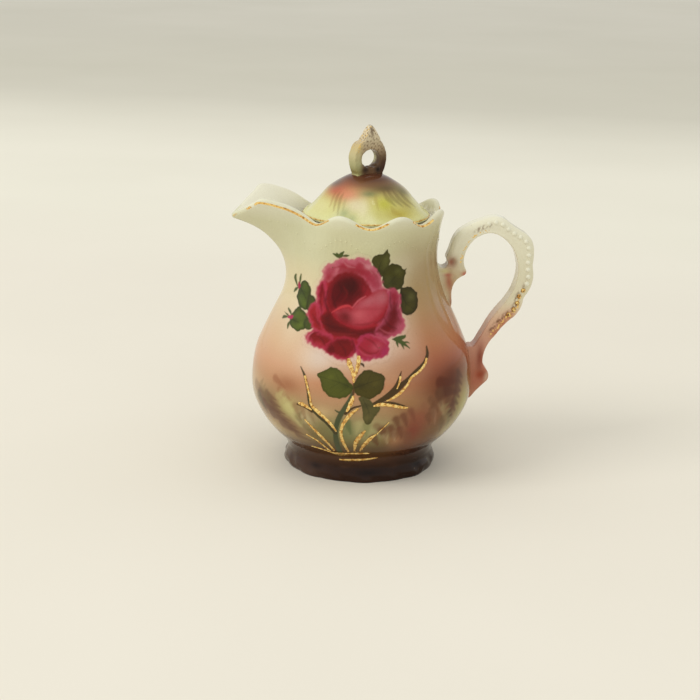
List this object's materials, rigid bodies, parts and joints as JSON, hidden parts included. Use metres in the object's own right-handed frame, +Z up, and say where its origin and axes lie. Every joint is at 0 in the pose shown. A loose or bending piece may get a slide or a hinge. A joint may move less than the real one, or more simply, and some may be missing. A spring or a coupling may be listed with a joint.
{
  "type": "covered cream jug",
  "caption": "Round-bellied porcelain cream jug with a scalloped rim, a broad pouring lip, a loop handle and a domed lid with a pierced finial that lifts off its seat.",
  "frame": {"origin": "on the table, under the middle of the jug's length from spout tip to handle and the middle of its width", "axes": "+Z up, +X towards the handle, -X towards the spout, -Y towards the side with the rose"},
  "size_m": [0.1274, 0.0938, 0.145],
  "materials": {
    "painted_porcelain": "glazed porcelain with airbrushed grounds and a printed rose",
    "white_porcelain": "plain glazed porcelain with worn speckled gilding",
    "lid_porcelain": "glazed porcelain with an airbrushed yellow-green and brown ground",
    "finial_porcelain": "glazed porcelain, speckled brown and worn gold",
    "raised_gilding": "burnished raised gold over enamel paste"
  },
  "bodies": {
    "jug": {"jug_body": "painted_porcelain", "jug_handle": "white_porcelain", "lid_gallery": "white_porcelain"},
    "lid": {"lid_dome": "lid_porcelain", "lid_collar": "white_porcelain", "lid_finial": "finial_porcelain"}
  },
  "joints": [
    {"name": "lid_lift", "type": "slide", "parent": "jug", "child": "lid", "axis": [0, 0, 1], "range_m": [0, 0.05]}
  ]
}
